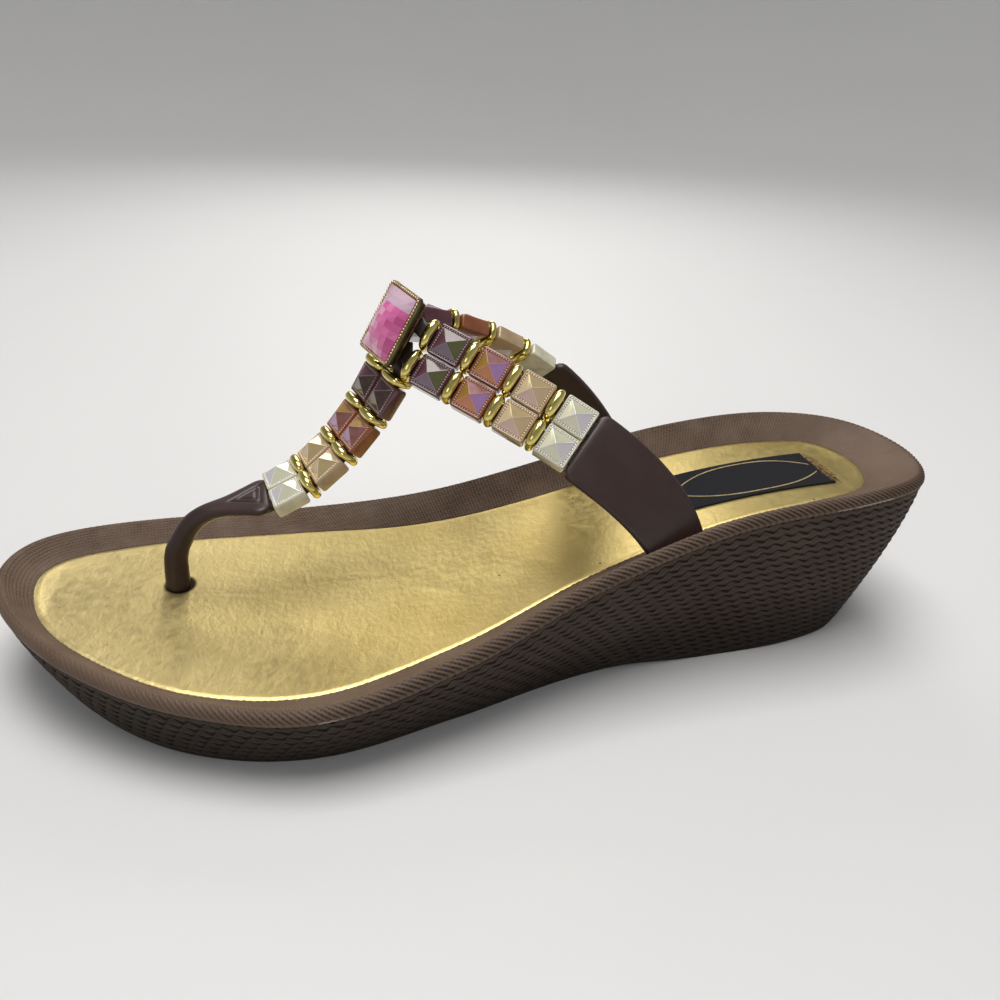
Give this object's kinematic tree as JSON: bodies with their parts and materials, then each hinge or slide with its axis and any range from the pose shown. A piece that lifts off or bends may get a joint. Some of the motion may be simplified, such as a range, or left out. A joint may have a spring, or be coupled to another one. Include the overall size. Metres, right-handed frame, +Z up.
{
  "type": "toe post wedge sandal",
  "caption": "Left toe post sandal: cupped moulded wedge footbed, rubber thong with pyramid beads and ring spacers, flat side plates and a rectangular jewel over the instep.",
  "frame": {"origin": "on the floor, under the middle of the sandal's outline seen from above", "axes": "+Y from the heel to the toe, +X to the medial side (to the wearer's right on this left shoe), +Z up"},
  "size_m": [0.0944, 0.262, 0.0993],
  "materials": {
    "foam": "dark brown moulded foam, matte, ribbed rim and braided knit texture on the side wall",
    "gold_leather": "metallic gold leatherette with fine wrinkles",
    "label": "black woven satin with thin gold border lines",
    "rubber": "smooth dark brown moulded rubber, satin",
    "purple": "glossy purple-brown bead with an iridescent faceted top",
    "orange": "glossy copper-orange bead with an iridescent faceted top",
    "beige": "glossy beige bead with an iridescent faceted top",
    "white": "glossy ivory bead with an iridescent faceted top",
    "gold": "polished gold plating",
    "antique_gold": "antique gold cast metal with a beaded border",
    "pink": "pink stone with checkerboard facets, glossy"
  },
  "bodies": {
    "root": {"sole": "foam", "insole": "gold_leather", "heel_label": "label", "upper": "rubber", "bezel": "antique_gold", "stone": "pink", "bead_lateral_purple_a": "purple", "bead_lateral_purple_b": "purple", "bead_lateral_orange_a": "orange", "bead_lateral_orange_b": "orange", "bead_lateral_beige_a": "beige", "bead_lateral_beige_b": "beige", "bead_lateral_white_a": "white", "bead_lateral_white_b": "white", "spacer_lateral_1": "gold", "spacer_lateral_2": "gold", "spacer_lateral_3": "gold", "spacer_lateral_4": "gold", "bead_medial_purple_a": "purple", "bead_medial_purple_b": "purple", "bead_medial_orange_a": "orange", "bead_medial_orange_b": "orange", "bead_medial_beige_a": "beige", "bead_medial_beige_b": "beige", "bead_medial_white_a": "white", "bead_medial_white_b": "white", "spacer_medial_1": "gold", "spacer_medial_2": "gold", "spacer_medial_3": "gold", "spacer_medial_4": "gold", "bead_centre_purple_a": "purple", "bead_centre_purple_b": "purple", "bead_centre_orange_a": "orange", "bead_centre_orange_b": "orange", "bead_centre_beige_a": "beige", "bead_centre_beige_b": "beige", "bead_centre_white_a": "white", "bead_centre_white_b": "white", "spacer_centre_1": "gold", "spacer_centre_2": "gold", "spacer_centre_3": "gold", "spacer_centre_4": "gold"}
  },
  "joints": []
}
